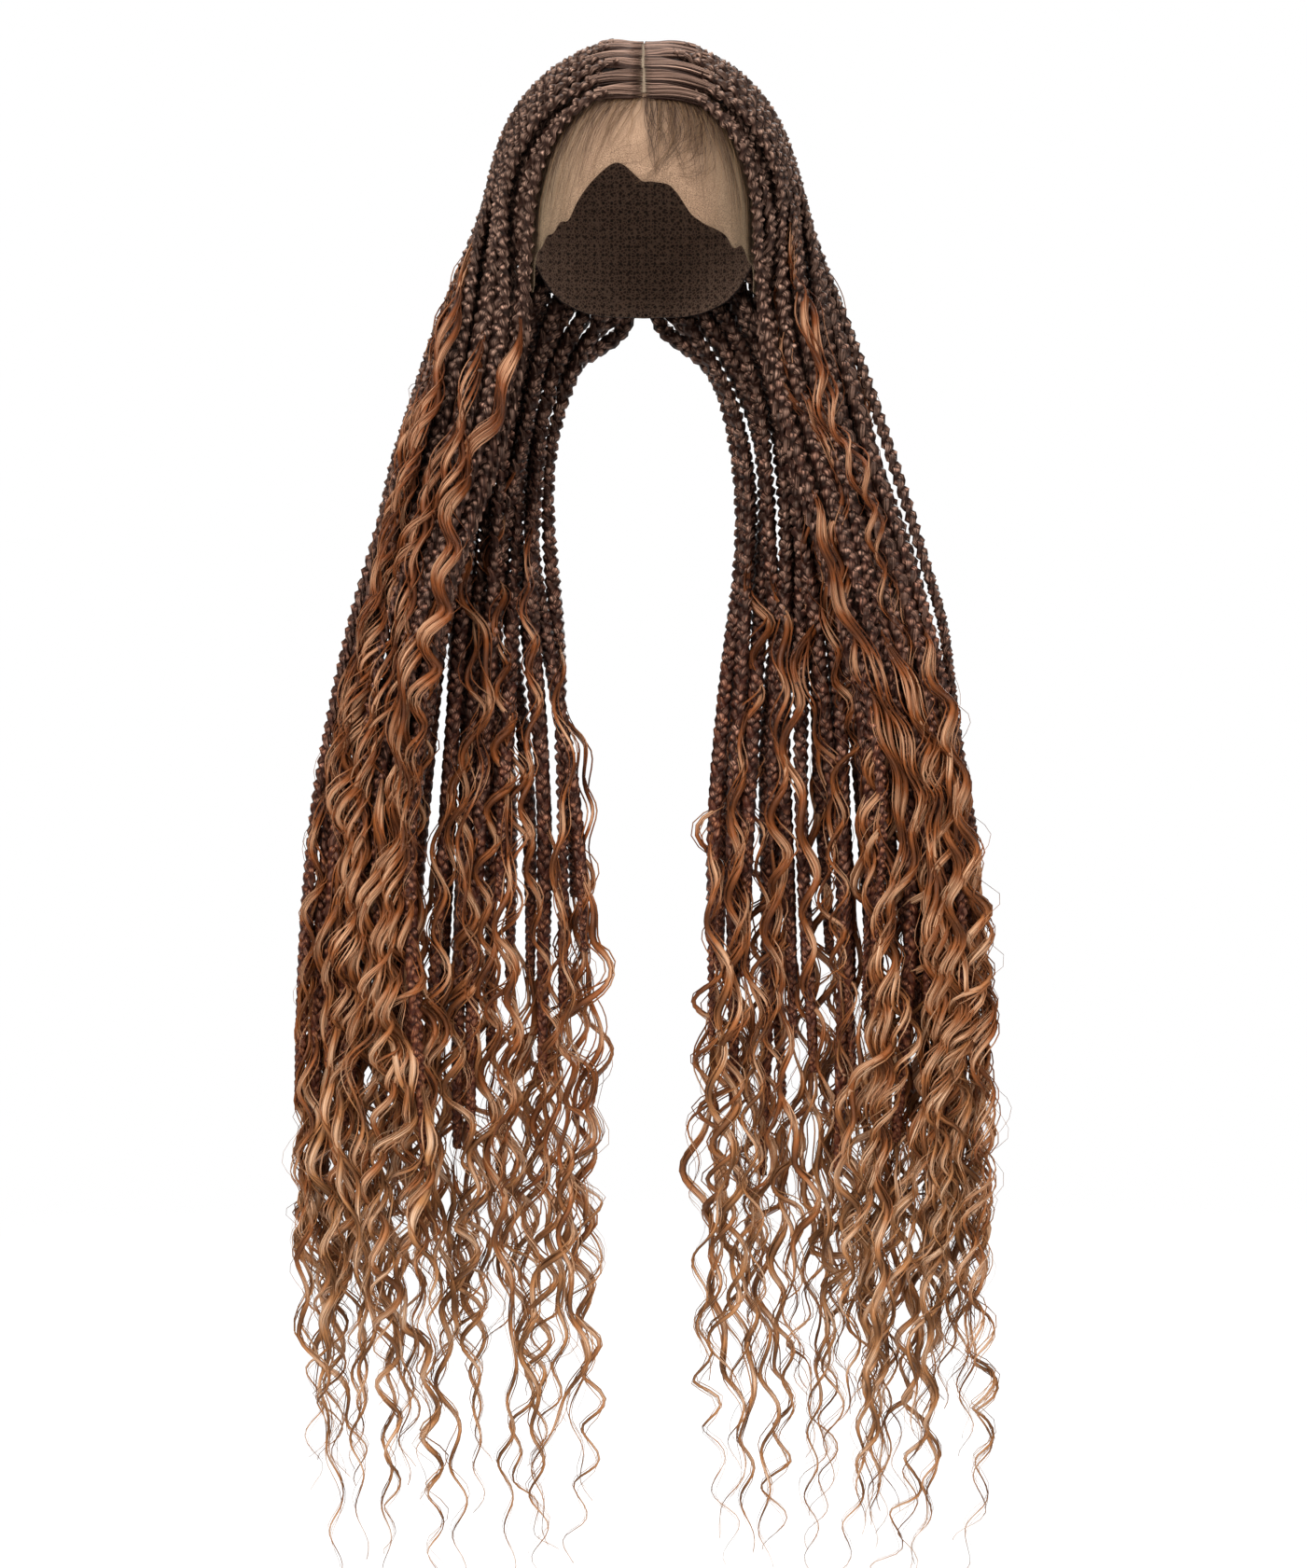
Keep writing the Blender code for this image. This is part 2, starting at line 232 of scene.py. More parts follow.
def add_camera():
    """The camera at the photograph's height, distance and framing."""
    data = bpy.data.cameras.new("camera")
    data.sensor_fit = "VERTICAL"
    data.sensor_height = SENSOR_HEIGHT
    data.lens = SENSOR_HEIGHT * CAMERA_DISTANCE / (IMAGE_SIZE[1] * SCALE)
    data.clip_end = 50
    camera = bpy.data.objects.new("camera", data)
    across = (IMAGE_SIZE[0] / 2 - MIDDLE_COLUMN) * SCALE
    middle = (TOP_ROW - IMAGE_SIZE[1] / 2) * SCALE
    tilt = math.asin((CAMERA_LEVEL - middle) / CAMERA_DISTANCE)
    camera.location = (across, SUBJECT_PLANE - CAMERA_DISTANCE * math.cos(tilt), CAMERA_LEVEL)
    camera.rotation_euler = (math.pi / 2 - tilt, 0, 0)
    show(camera)
    bpy.context.scene.camera = camera


def add_light(name, place, target, size, power):
    """A square soft light that faces a point."""
    data = bpy.data.lights.new(name, "AREA")
    data.shape = "SQUARE"
    data.size = size
    data.energy = power
    light = bpy.data.objects.new(name, data)
    light.location = place
    light.rotation_euler = (Vector(target) - Vector(place)).to_track_quat("-Z", "Y").to_euler()
    show(light)


def floor_finish():
    """A pale floor that fades out round the wig, so no horizon shows."""
    made, graph, shader = new_finish("pale_floor", 0.8)
    shader.inputs["Base Color"].default_value = FLOOR_COLOUR
    far = graph.vector("LENGTH", graph.place(), out="Value")
    graph.join(graph.span(far, FLOOR_SOLID, FLOOR_GONE, FLOOR_SHARE, 0.0), shader, "Alpha")
    return made


def add_studio():
    """Lights, a pale floor and an even white surrounding."""
    add_light("key", (-1.6, -2.6, 1.2), (0, 0, -0.4), 1.6, 95)
    add_light("fill", (2.0, -2.4, 0.3), (0, 0, -0.4), 2.0, 45)
    add_light("top", (0.0, 0.3, 1.9), (0, 0, -0.1), 1.4, 35)
    add_light("back", (0.4, 2.6, 0.8), (0, 0, -0.4), 1.8, 50)
    mesh = bpy.data.meshes.new("floor")
    half = FLOOR_SIZE / 2
    corners = [(-half, -half, 0), (half, -half, 0), (half, half, 0), (-half, half, 0)]
    mesh.from_pydata(corners, [], [(0, 1, 2, 3)])
    floor = bpy.data.objects.new("floor", mesh)
    floor.location.z = FLOOR_LEVEL
    show(floor)
    mesh.materials.append(floor_finish())
    world = bpy.data.worlds.new("studio")
    world.use_nodes = True
    graph = Graph(world.node_tree)
    seen = graph.node("ShaderNodeLightPath", out="Is Camera Ray")
    background = world.node_tree.nodes["Background"]
    background.inputs["Color"].default_value = (1, 1, 1, 1)
    strength = seen * (1 - AMBIENT) + AMBIENT
    graph.join(strength, background, "Strength")
    bpy.context.scene.world = world
    bpy.context.scene.view_settings.view_transform = "Standard"


add_camera()
add_studio()
print("camera at", [round(v, 3) for v in bpy.context.scene.camera.location])

# %% [markdown]
# ## How a braid lies
# Each braid starts at the parting, or lower on the cap, runs round the head to the edge of the cap and then
# hangs in one of the two curtains. The rows below say where the hair of the hairline, the side, the back
# and the nape hangs at each drop. The braids then push each other apart until each one has its room, as
# real ones do. These are the construction's own rules with more and thinner braids.

# %% Lay the braids on the head and let them settle
LANES = 20
TIERS = ("upper", "lower")
ROOT_RADIUS = 0.0034
BRAID_RADIUS = 0.0054
BRAID_END_RADIUS = 0.0046
HEAD_STATIONS = 42
HANG_STATIONS = 72
LOWER_TIER_START = 18
ROOT_STATIONS = 12
LEVEL_STATIONS = 19
LIFTED_LANE = 5
TIER_LIFT = 2.9
DROP_CURVE = 1.3
ROOT_TURN_SHARE = 0.85
SETTLE_ROUNDS = 110
PUSH_SHARE = 0.3
SMOOTH_SHARE = 0.3
FIRST_ROOT, LAST_ROOT = math.radians(-45), math.radians(104)
FIRST_LEAVE, LAST_LEAVE = math.radians(66), math.radians(175)
LEAVE_DROP_FRONT, LEAVE_DROP_NAPE = math.radians(90), math.radians(120)
SIDE_PULL_FRONT, SIDE_PULL_NAPE = math.radians(50), math.radians(10)

# Each row holds a drop, then x and y for the face, the side, the back and the nape. Drops are shares of the
# wig's length, x of the curtain's half width and y of the head's half depth.
PLANS = np.array((
    (0.18, 0.385, -0.36, 0.570, -0.08, 0.440, 0.62, 0.160, 0.96),
    (0.23, 0.425, -0.46, 0.620, -0.17, 0.490, 0.44, 0.300, 0.76),
    (0.27, 0.490, -0.57, 0.670, -0.32, 0.520, 0.12, 0.400, 0.38),
    (0.33, 0.600, -0.78, 0.740, -0.53, 0.530, -0.30, 0.370, -0.08),
    (0.38, 0.710, -1.00, 0.820, -0.78, 0.540, -0.65, 0.295, -0.55),
    (0.43, 0.740, -1.20, 0.880, -0.97, 0.540, -0.88, 0.235, -0.84),
    (0.51, 0.720, -1.28, 0.945, -1.09, 0.560, -1.01, 0.200, -0.97),
    (0.59, 0.670, -1.28, 1.010, -1.12, 0.590, -1.03, 0.200, -0.99),
    (0.74, 0.630, -1.26, 1.000, -1.09, 0.590, -0.99, 0.210, -0.97),
    (1.00, 0.560, -1.18, 0.920, -1.03, 0.560, -0.95, 0.240, -0.95),
))
PLAN_LANES = (0.0, 0.35, 0.68, 0.96)


def smooth_curve(knots, values, places):
    """A smooth curve through values at knots, read at places."""
    knots = np.asarray(knots, float)
    values = np.asarray(values, float)
    slopes = np.gradient(values, knots, axis=0)
    left = np.clip(np.searchsorted(knots, places) - 1, 0, len(knots) - 2)
    span = knots[left + 1] - knots[left]
    share = np.clip((places - knots[left]) / span, 0, 1)
    shape = (-1,) + (1,) * (values.ndim - 1)
    share = share.reshape(shape)
    span = span.reshape(shape)
    rise = share * share * (3 - 2 * share)
    lift = share * (1 - share)
    return (
        values[left] * (1 - rise)
        + values[left + 1] * rise
        + slopes[left] * span * lift * (1 - share)
        - slopes[left + 1] * span * lift * share
    )


def on_head(direction, lift=0.0):
    """Points where directions from the head's middle meet it, lifted off it by lift."""
    direction = direction / np.linalg.norm(direction, axis=-1, keepdims=True)
    normal = direction / HEAD_AXES
    normal /= np.linalg.norm(normal, axis=-1, keepdims=True)
    return HEAD_CENTRE + direction * HEAD_AXES + normal * np.expand_dims(lift, -1)


def head_direction(azimuth, drop):
    """The direction at an angle round the head and an angle down from its top."""
    level = np.sin(drop)
    return np.stack((np.sin(azimuth) * level, -np.cos(azimuth) * level, np.cos(drop)), -1)


def off_head(points):
    """How far points are outside the head, and the way straight out."""
    local = (points - HEAD_CENTRE) / HEAD_AXES
    size = np.linalg.norm(local, axis=-1)
    slope = local / HEAD_AXES / size[..., None]
    steep = np.linalg.norm(slope, axis=-1)
    return (size - 1) / steep, slope / steep[..., None]


def plait_radius(points):
    """Half a plait's width by its drop."""
    drop = -points[..., 2] / WIG_LENGTH
    return np.interp(drop, (0.30, 0.50), (BRAID_RADIUS, BRAID_END_RADIUS))


def lane_route(lane, tier):
    """One braid's wished route on the left side, and the outward way along it."""
    shift = 0.5 if tier == "lower" else 0.0
    first = LOWER_TIER_START if tier == "lower" else 0
    share = (lane + shift) / LANES
    root = FIRST_ROOT + (LAST_ROOT - FIRST_ROOT) * share
    leave = FIRST_LEAVE + (LAST_LEAVE - FIRST_LEAVE) * share
    drop = LEAVE_DROP_FRONT + (LEAVE_DROP_NAPE - LEAVE_DROP_FRONT) * share**2
    pull = SIDE_PULL_FRONT + (SIDE_PULL_NAPE - SIDE_PULL_FRONT) * share
    turn = root * ROOT_TURN_SHARE
    begin = np.array((0, math.sin(root), math.cos(root)))
    bend = np.array((math.sin(pull), math.cos(pull) * math.sin(turn), math.cos(pull) * math.cos(turn)))
    end = head_direction(leave, drop)
    step = np.linspace(0, 1, HEAD_STATIONS + 1)[:, None]
    direction = begin * (1 - step) ** 2 + 2 * bend * step * (1 - step) + end * step**2
    grown = np.clip((np.arange(HEAD_STATIONS + 1) - first) / ROOT_STATIONS, 0, 1)
    layer = ROOT_RADIUS + (BRAID_RADIUS - ROOT_RADIUS) * grown + GAP + CAP_WALL
    over = np.clip((step[:, 0] - 0.3) / 0.3, 0, 1) if tier == "upper" else np.zeros(len(step))
    over = over * min(lane / LIFTED_LANE, (LANES - 1 - lane) / LIFTED_LANE, 1)
    head = on_head(direction, layer + TIER_LIFT * BRAID_RADIUS * over)
    hang = np.arange(1, HANG_STATIONS + 1) / HANG_STATIONS
    fall = hang**DROP_CURVE
    own_level = head[-1, 2] * (1 - fall) - WIG_LENGTH * fall
    shared_level = HEAD_CENTRE[2] * (1 - fall) - WIG_LENGTH * fall
    meet = np.clip(hang * HANG_STATIONS / LEVEL_STATIONS, 0, 1)
    level = own_level * (1 - meet) + shared_level * meet
    size = np.array((CURTAIN_HALF_WIDTH, HEAD_AXES[1]))
    corners = PLANS[:, 1:].reshape(-1, 4, 2) * size
    beside = np.clip(np.array((share, share - 0.02, share + 0.02)), 0, 1)
    spots = np.array([smooth_curve(PLAN_LANES, row, beside) for row in corners])
    along = spots[:, 2] - spots[:, 1]
    normal = np.stack((along[:, 1], -along[:, 0]), 1) / np.linalg.norm(along, axis=1)[:, None]
    across = spots[:, 0] + normal * BRAID_RADIUS * 1.2 * (1 if tier == "upper" else -1)
    knots = np.concatenate(([-head[-1, 2]], PLANS[:, 0] * WIG_LENGTH))
    places = np.vstack((head[-1, :2], across))
    plan = smooth_curve(knots, places, -level)
    route = np.vstack((head, np.column_stack((plan, level))))
    head_out = off_head(head)[1]
    plan_out = smooth_curve(knots, np.vstack((head_out[-1, :2], normal)), -level)
    outward = np.vstack((head_out, np.column_stack((plan_out, np.zeros(len(level))))))
    return route, outward / np.linalg.norm(outward, axis=1)[:, None]


def settle(routes, radii, alive, first):
    """Braids push each other apart, and off the head, until each one has its room."""
    room = radii[:, None] + radii[None] + GAP
    both = alive[:, None] & alive[None] & ~np.eye(len(routes), dtype=bool)[:, :, None]
    rooted = np.arange(routes.shape[1])[None] <= first[:, None]
    roots = routes[rooted]
    for _ in range(SETTLE_ROUNDS):
        way = np.gradient(routes, axis=1)
        way /= np.linalg.norm(way, axis=-1, keepdims=True)
        middle = way[:, None] + way[None]
        middle /= np.linalg.norm(middle, axis=-1, keepdims=True) + 1e-9
        apart = routes[:, None] - routes[None]
        apart -= middle * (apart * middle).sum(-1, keepdims=True)
        far = np.linalg.norm(apart, axis=-1) + 1e-9
        short = np.where(both, np.clip(room - far, 0, None), 0)
        routes = routes + PUSH_SHARE * (apart * (short / far)[..., None]).sum(1)
        middle_way = (routes[:, :-2] + routes[:, 2:]) / 2
        routes[:, 1:-1] += SMOOTH_SHARE * (middle_way - routes[:, 1:-1])
        routes[rooted] = roots
        out, straight = off_head(routes)
        need = radii + CAP_WALL + GAP
        routes += straight * np.clip(need - out, 0, None)[..., None]
        routes[..., 0] = np.maximum(routes[..., 0], radii + GAP + PART_WIDTH / 2)
    return routes


def lay_side(seed):
    """All braids of one side as settled routes, with the station where each begins."""
    chance = np.random.default_rng(seed)
    keys = [(tier, lane) for tier in TIERS for lane in range(LANES)]
    wished = [lane_route(lane, tier) for tier, lane in keys]
    routes = np.array([route for route, _ in wished])
    outward = np.array([out for _, out in wished])
    first = np.array([LOWER_TIER_START if tier == "lower" else 0 for tier, _ in keys])
    stations = np.arange(routes.shape[1])
    loose = np.clip((stations - HEAD_STATIONS * 0.8) / 20, 0, 1)
    knots = np.linspace(0, len(stations) - 1, 9)
    for number in range(len(routes)):
        for axis, reach in ((0, 0.0045), (1, 0.0035)):
            drift = smooth_curve(knots, chance.normal(0, reach, len(knots)), stations.astype(float))
            routes[number, :, axis] += drift * loose
    alive = stations[None] >= first[:, None]
    grown = np.clip((stations[None] - first[:, None]) / ROOT_STATIONS, 0, 1)
    radii = np.where(alive, ROOT_RADIUS + (plait_radius(routes) - ROOT_RADIUS) * grown, 0)
    return keys, settle(routes, radii, alive, first), outward, first


laid = {side: lay_side(seed) for side, seed in (("left", 11), ("right", 23))}
print("braids a side", len(laid["left"][0]), "stations", laid["left"][1].shape[1])

# %% [markdown]
# ## Materials
# Hair reads as hair when three things vary: the shade along its length, the shade from strand to strand,
# and a fine grain that runs with each strand. The grain follows an attribute that is stored on the strands,
# so it never slides. Roots are nearly black, the plaits warm to red-brown lower down, and the curls are
# copper. Each strand also gets a painted highlight on its crest, on each plait lobe and on the lit side of
# each curl's wave, and painted shade where a plait strand passes under another or a wave turns away.

# %% Hair finishes
BRAID_SHADES = ("2e1a13", "281611", "321812", "482016", "612e1d")
# Painted highlight colours by drop, laid on each plait lobe's crest and on the lit side of each curl's wave
BRAID_PAINTED_HIGHLIGHTS = ("f4c6ac", "ecb89e", "dc9c80", "d68c62", "d8966a")
CURL_SHADES = ("7e4624", "864825", "904e24", "a86234", "c48856")
CURL_PAINTED_HIGHLIGHTS = ("e8b48c", "e8b48c", "ecbc94", "f2c8a0", "f8dabc")
# The darks are blended in both for the grain's dark streaks and for the painted shade at crossings and
# unlit sides
BRAID_DARK, CURL_DARK = "0b0605", "2c140b"
SHADE_DROPS = (0.0, 0.25, 0.45, 0.62, 0.80)


def drop_ramp(graph, drop, shades):
    """A colour that changes with drop."""
    stops = [(share, srgb(shade)) for share, shade in zip(SHADE_DROPS, shades)]
    return graph.node("ShaderNodeValToRGB", {"stops": stops}, {"Fac": drop}, "Color")


def hair_finish(name, shades, painted_highlights, dark, roughness, specular, painted_shade_depth, glint):
    """Hair whose colour changes with drop, strand and grain, with painted highlights and painted shade set
    by the strand's crest value.
    """
    made, graph, shader = new_finish(name, roughness, specular)
    place = graph.place()
    height = graph.part(place, "Z")
    grain_map = graph.layer("strand_map", "Vector")
    tone = graph.layer("strand_tone")
    crest = graph.layer("strand_crest")
    grain_place = graph.node("ShaderNodeMapping", None, {"Vector": grain_map, "Scale": (3.2, 3.2, 26.0)})
    grain = graph.noise(grain_place, 1.0, 3.0)
    patches = graph.noise(place, 22.0, 2.0)
    drop = height * (-1.0 / WIG_LENGTH) + (patches - 0.5) * 0.16 + (tone - 0.5) * 0.22
    base = drop_ramp(graph, drop, shades)
    shine = drop_ramp(graph, drop, painted_highlights)
    # Painted highlight: the shine colour is blended in where the crest value is high, broken up by the
    # grain
    highlight_share = graph.span(grain, glint, 0.69, 0.10, 0.95) * graph.span(crest, 0.58, 1.0, 0.0, 1.0)
    light = graph.blend(highlight_share, base, shine)
    shade = graph.span(grain, 0.50, 0.30, 0.0, 0.7)
    # Painted shade: the dark is blended in where the crest value is low, where a plait strand passes under
    # another or a curl's wave turns away from the light
    painted_shade = graph.span(crest, 0.0, 0.55, painted_shade_depth, 0.0)
    deep = graph.blend(shade.math("MAXIMUM", painted_shade), light, srgb(dark))
    graph.join(deep, shader, "Base Color")
    rough = (grain - 0.5) * 0.25 + roughness
    graph.join(rough, shader, "Roughness")
    bump = graph.node("ShaderNodeBump", None, {"Height": grain, "Strength": 0.7, "Distance": 0.0006})
    graph.join(bump, shader, "Normal")
    shader.inputs["Specular Tint"].default_value = srgb("e8c6b4")
    return made


braid_hair = hair_finish("braided_hair", BRAID_SHADES, BRAID_PAINTED_HIGHLIGHTS, BRAID_DARK, 0.38, 0.34, 0.90, 0.47)
curl_hair = hair_finish("curled_hair", CURL_SHADES, CURL_PAINTED_HIGHLIGHTS, CURL_DARK, 0.40, 0.40, 0.75, 0.41)
print("hair finishes", braid_hair.name, curl_hair.name)

# %% Cap, parting and lace finishes


def net_finish(name, thread, hole, cell, roughness):
    """A net: fine crossing threads over a darker ground."""
    made, graph, shader = new_finish(name, roughness, 0.3)
    place = graph.place()
    open_share = graph.span(graph.cells(place, cell), 0.06, 0.16, 0.0, 1.0)
    blotch = graph.noise(place, 60.0, 3.0)
    shades = {"stops": [(0.3, hole), (0.7, thread)]}
    tone = graph.node("ShaderNodeValToRGB", shades, {"Fac": blotch}, "Color")
    graph.join(graph.blend(open_share, tone, hole), shader, "Base Color")
    sockets = {"Height": open_share, "Strength": 0.5, "Distance": 0.0002}
    bump = graph.node("ShaderNodeBump", {"invert": True}, sockets)
    graph.join(bump, shader, "Normal")
    return made, graph, shader


def cap_finish():
    """A knotted cap: dark hair-brown outside, a lighter lining with rows of knots inside."""
    made, graph, shader = net_finish("cap_net", srgb("3a2820"), srgb("1a110d"), CAP_CELL, 0.85)
    net = Flow(graph, shader.inputs["Base Color"].links[0].from_socket)
    place = graph.place()
    local = graph.vector("SUBTRACT", place, tuple(HEAD_CENTRE))
    local = graph.vector("DIVIDE", local, tuple(HEAD_AXES))
    size = graph.vector("LENGTH", local, out="Value")
    lining = graph.span(size, 0.998, 1.006, 1.0, 0.0)
    height = graph.part(place, "Z")
    width = graph.part(place, "X")
    rows = (height * (math.tau / CAP_ROW)).math("SINE") + (width * (math.tau / CAP_ROW)).math("SINE")
    holes = graph.cells(place, CAP_CELL)
    mesh = graph.blend(graph.span(holes, 0.06, 0.20, 0.0, 1.0), srgb("8d7260"), srgb("4a362b"))
    knotted = graph.blend(graph.span(rows, 1.2, 1.7, 0.0, 0.85), mesh, srgb("22150f"))
    near = graph.span(width.math("ABSOLUTE"), 0.0024, 0.0060, 1.0, 0.0)
    near = near * graph.span(height, -0.07, -0.05, 0.0, 1.0)
    scalp = graph.blend(near, net, srgb("8f735d"))
    both = graph.blend(lining, scalp, knotted)
    graph.join(both, shader, "Base Color")
    return made


def lace_finish():
    """Sheer lace: a fine net, tan in the middle, olive at the temples and dusky along the hairline."""
    made, graph, shader = net_finish("lace_net", srgb("b8967a"), srgb("a58469"), LACE_CELL, 0.75)
    net = Flow(graph, shader.inputs["Base Color"].links[0].from_socket)
    where = graph.layer("lace_map", "Vector")
    turn = graph.part(where, "X").math("ABSOLUTE")
    down = graph.part(where, "Y")
    combed = graph.node("ShaderNodeMapping", None, {"Vector": where, "Scale": (90.0, 5.0, 1.0)})
    fuzz = graph.noise(combed, 1.0, 4.0)
    temple = graph.span(turn + (fuzz - 0.5) * 0.3, 0.45, 1.0, 0.0, 0.75)
    tinted = graph.blend(temple, net, srgb("8d7a60"))
    dusk = graph.span(down + (fuzz - 0.5) * 0.5, 0.0, 0.40, 0.45, 0.0)
    dusky = graph.blend(dusk, tinted, srgb("8a6f59"))
    hairs = graph.blend(graph.span(fuzz, 0.56, 0.72, 0.0, 0.4), dusky, srgb("5a4230"))
    graph.join(hairs, shader, "Base Color")
    holes = graph.cells(graph.place(), LACE_CELL)
    sheer = graph.span(down, 0.3, 1.0, 0.10, 0.55)
    alpha = 1.0 - graph.span(holes, 0.06, 0.20, 0.0, 1.0) * sheer
    graph.join(alpha, shader, "Alpha")
    return made


def baby_hair_finish():
    """Soft fine hair, from dark brown to light brown."""
    made, graph, shader = new_finish("baby_hair", 0.55, 0.3)
    tone = graph.layer("strand_tone")
    shades = [(0.0, srgb("2e1b13")), (0.5, srgb("553a28")), (1.0, srgb("8a6a4a"))]
    colour = graph.node("ShaderNodeValToRGB", {"stops": shades}, {"Fac": tone}, "Color")
    graph.join(colour, shader, "Base Color")
    return made


LACE_CELL = 0.0009
CAP_CELL = 0.0020
CAP_ROW = 0.0055
cap_net = cap_finish()
parting_net = net_finish("parting_net", srgb("b09f88"), srgb("7d6a56"), LACE_CELL, 0.75)[0]
lace_net = lace_finish()
baby_finish = baby_hair_finish()
for node, finish in (("wig_cap", cap_net), ("parting_strip", parting_net)):
    slots = bpy.data.objects[node].data.materials
    slots.clear()
    slots.append(finish)
print("net finishes on", "wig_cap and parting_strip")

# %% [markdown]
# ## Plaits
# A plait is three strands that swap places: seen from the front each one swings from side to side, and it
# comes forward twice in each swing. Those two waves are all that a plait needs, so a Geometry Nodes tree
# makes three copies of each route, moves each by the two waves a third of a turn apart, and sweeps a flat
# round profile along it.

# %% Build the Geometry Nodes trees
RINGS_PER_CYCLE = {"upper": 8, "lower": 7}
CYCLE_PER_WIDTH = 2.3
# The turn of each curl's wave whose side gets the painted highlight; the opposite side gets painted shade
LIT_TURN = 0.7


def swept_tree(name, defaults, offset_of, size_of):
    """A tree that copies routes into strands, moves them and sweeps a profile along them."""
    tree = bpy.data.node_groups.new(name, "GeometryNodeTree")
    tree.interface.new_socket(name="Geometry", in_out="OUTPUT", socket_type="NodeSocketGeometry")
    tree.interface.new_socket(name="Geometry", in_out="INPUT", socket_type="NodeSocketGeometry")
    for title, value in defaults.items():
        kind = "NodeSocketInt" if isinstance(value, int) else "NodeSocketFloat"
        tree.interface.new_socket(name=title, in_out="INPUT", socket_type=kind).default_value = value
    tree.interface.new_socket(name="Material", in_out="INPUT", socket_type="NodeSocketMaterial")
    graph = Graph(tree)
    entry = tree.nodes.new("NodeGroupInput")
    given = {socket.name: Flow(graph, socket) for socket in entry.outputs if socket.name}
    routes = graph.node("GeometryNodeMeshToCurve", None, {"Mesh": given["Geometry"]})
    sockets = {"Geometry": routes, "Amount": given["Strands"]}
    copies = graph.node("GeometryNodeDuplicateElements", {"domain": "SPLINE"}, sockets)
    index = Flow(graph, copies.socket.node.outputs["Duplicate Index"])
    numbered = graph.store(copies, "strand", index)
    outward = graph.stored("outward", "FLOAT_VECTOR")
    way = graph.node("GeometryNodeInputTangent")
    side = graph.vector("CROSS_PRODUCT", way, outward)
    across, forward, crest = offset_of(graph, given)
    move = graph.vector("ADD", graph.vector("SCALE", side, across), graph.vector("SCALE", outward, forward))
    # strand_crest sets where the hair finish paints highlight and shade; the plait tree also plumps its
    # lobes by it
    crested = graph.store(numbered, "strand_crest", crest)
    moved = graph.node("GeometryNodeSetPosition", None, {"Geometry": crested, "Offset": move})
    turned = graph.node("GeometryNodeSetCurveNormal", {"mode": "FREE"}, {"Curve": moved, "Normal": outward})
    sockets = {"Resolution": given["Sides"], "Radius": 1.0}
    ring = graph.node("GeometryNodeCurvePrimitiveCircle", None, sockets)
    turn = graph.node("GeometryNodeSplineParameter") * math.tau
    flat = graph.node("ShaderNodeCombineXYZ", None, {"X": given["Flatness"], "Y": 1.0, "Z": 1.0})
    profile = graph.node("GeometryNodeTransform", None, {"Geometry": ring, "Scale": flat})
    profile = graph.store(profile, "turn", turn)
    sockets = {"Curve": turned, "Profile Curve": profile, "Scale": size_of(graph, given), "Fill Caps": True}
    swept = graph.node("GeometryNodeCurveToMesh", None, sockets)
    around = graph.stored("turn")
    tone = graph.stored("tone")
    strand = graph.stored("strand")
    grain_x = around.math("COSINE") + tone * 37.0
    grain_y = around.math("SINE") + strand * 5.0
    sockets = {"X": grain_x, "Y": grain_y, "Z": graph.stored("along")}
    grain_map = graph.node("ShaderNodeCombineXYZ", None, sockets)
    mapped = graph.store(swept, "strand_map", grain_map, "FLOAT_VECTOR")
    toned = graph.store(mapped, "strand_tone", (tone * 7.31 + strand * 0.37).math("FRACT"))
    smooth = graph.node("GeometryNodeSetShadeSmooth", None, {"Geometry": toned, "Shade Smooth": True})
    real = graph.node("GeometryNodeRealizeInstances", None, {"Geometry": smooth})
    dressed = graph.node("GeometryNodeSetMaterial", None, {"Geometry": real, "Material": given["Material"]})
    exit_node = tree.nodes.new("NodeGroupOutput")
    graph.join(dressed, exit_node, "Geometry")
    return tree


def plait_offset(graph, given):
    """Side to side once and forward twice in each turn of the plait."""
    turn = graph.stored("phase") + graph.stored("strand") * (math.tau / 3)
    half = graph.stored("half_width")
    across = turn.math("SINE") * half * given["Side Reach"]
    near = (turn * 2.0).math("SINE")
    # The third value is high mid-lobe and low where the strand crosses under: it places the painted
    # highlight and painted shade
    return across, near * half * given["Depth Reach"], near.math("ABSOLUTE")


def curl_offset(graph, given):
    """A shared wave, with each strand a little out of step and a little to one side."""
    lock = graph.stored("tone") * 61.0
    strand = graph.stored("strand")
    wobble = (strand * 2.399 + lock).math("SINE")
    turn = graph.stored("phase") + wobble * given["Out Of Step"]
    reach = graph.stored("reach") * (wobble * 0.18 + 1.0)
    spread = graph.stored("spread")
    place = strand * 2.399 + lock + graph.stored("along") * given["Drift"]
    across = turn.math("SINE") * reach + place.math("COSINE") * spread
    forward = turn.math("COSINE") * reach * given["Depth Share"] + place.math("SINE") * spread
    # The third value puts a painted highlight on the wave's lit side and painted shade on the other side
    return across, forward, (turn - LIT_TURN).math("COSINE") * 0.5 + 0.5


def root_offset(graph, given):
    """Strands side by side over the whole section, drawn together towards the plait."""
    side = graph.stored("strand") * 2.0 / (given["Strands"] - 1.0) - 1.0
    wobble = (graph.stored("strand") * 2.399 + graph.stored("tone") * 61.0).math("SINE")
    across = side * graph.stored("reach") + wobble * graph.stored("spread")
    forward = (1.0 - side * side) * graph.stored("rise") + wobble * graph.stored("spread") * 0.5
    # The third value varies at random, gives middle strands a painted highlight and gives strands at the
    # section's edges painted shade
    return across, forward, wobble * 0.25 + 0.95 - side * side * 0.55


